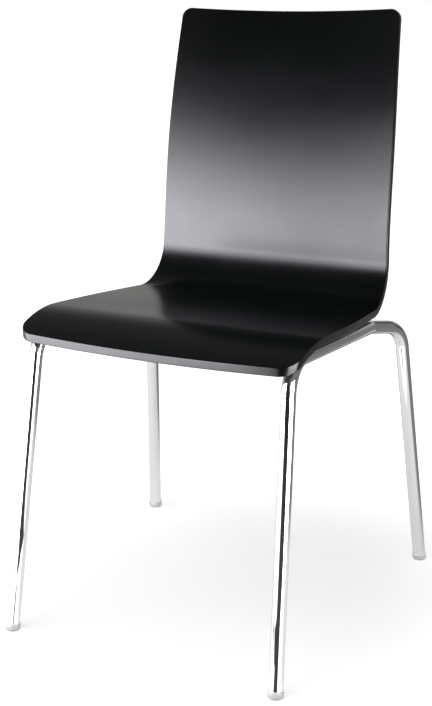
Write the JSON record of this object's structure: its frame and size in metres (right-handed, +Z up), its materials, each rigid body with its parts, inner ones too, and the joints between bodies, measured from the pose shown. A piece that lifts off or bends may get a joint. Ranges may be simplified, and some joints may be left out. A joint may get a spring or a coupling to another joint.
{
  "type": "choir chair",
  "caption": "Stiff chair: a moulded plywood shell that is seat and backrest in one, screwed from below to a chromed steel tube frame on plastic glides.",
  "frame": {"origin": "on the floor, under the middle of the whole chair", "axes": "+Z up; the sitter looks towards -Y; +X towards the right-hand side as seen by someone who faces the chair; the halves left and right of X = 0 mirror each other"},
  "size_m": [0.5156, 0.5248, 0.8682],
  "materials": {
    "lacquered_plywood": "black lacquer, satin gloss",
    "chromed_tube": "bright chrome",
    "zinc_plated_steel": "zinc plated",
    "black_plastic": "moulded, matt",
    "brass": "turned",
    "clear_plastic": "translucent, moulded"
  },
  "bodies": {
    "root": {"seat_shell": "lacquered_plywood", "front_cross_tube": "chromed_tube", "rear_cross_tube": "chromed_tube", "front_leg_left": "chromed_tube", "front_leg_right": "chromed_tube", "rear_leg_left": "chromed_tube", "rear_leg_right": "chromed_tube", "glide_front_left": "clear_plastic", "glide_front_right": "clear_plastic", "glide_rear_left": "clear_plastic", "glide_rear_right": "clear_plastic", "fixing_plate_front_left": "chromed_tube", "fixing_plate_front_right": "chromed_tube", "fixing_plate_rear_left": "chromed_tube", "fixing_plate_rear_right": "chromed_tube", "spacer_front_left": "black_plastic", "spacer_front_right": "black_plastic", "spacer_rear_left": "black_plastic", "spacer_rear_right": "black_plastic", "washer_front_left": "zinc_plated_steel", "washer_front_right": "zinc_plated_steel", "washer_rear_left": "zinc_plated_steel", "washer_rear_right": "zinc_plated_steel", "screw_front_left": "zinc_plated_steel", "screw_front_right": "zinc_plated_steel", "screw_rear_left": "zinc_plated_steel", "screw_rear_right": "zinc_plated_steel", "insert_front_left": "brass", "insert_front_right": "brass", "insert_rear_left": "brass", "insert_rear_right": "brass"}
  },
  "joints": []
}
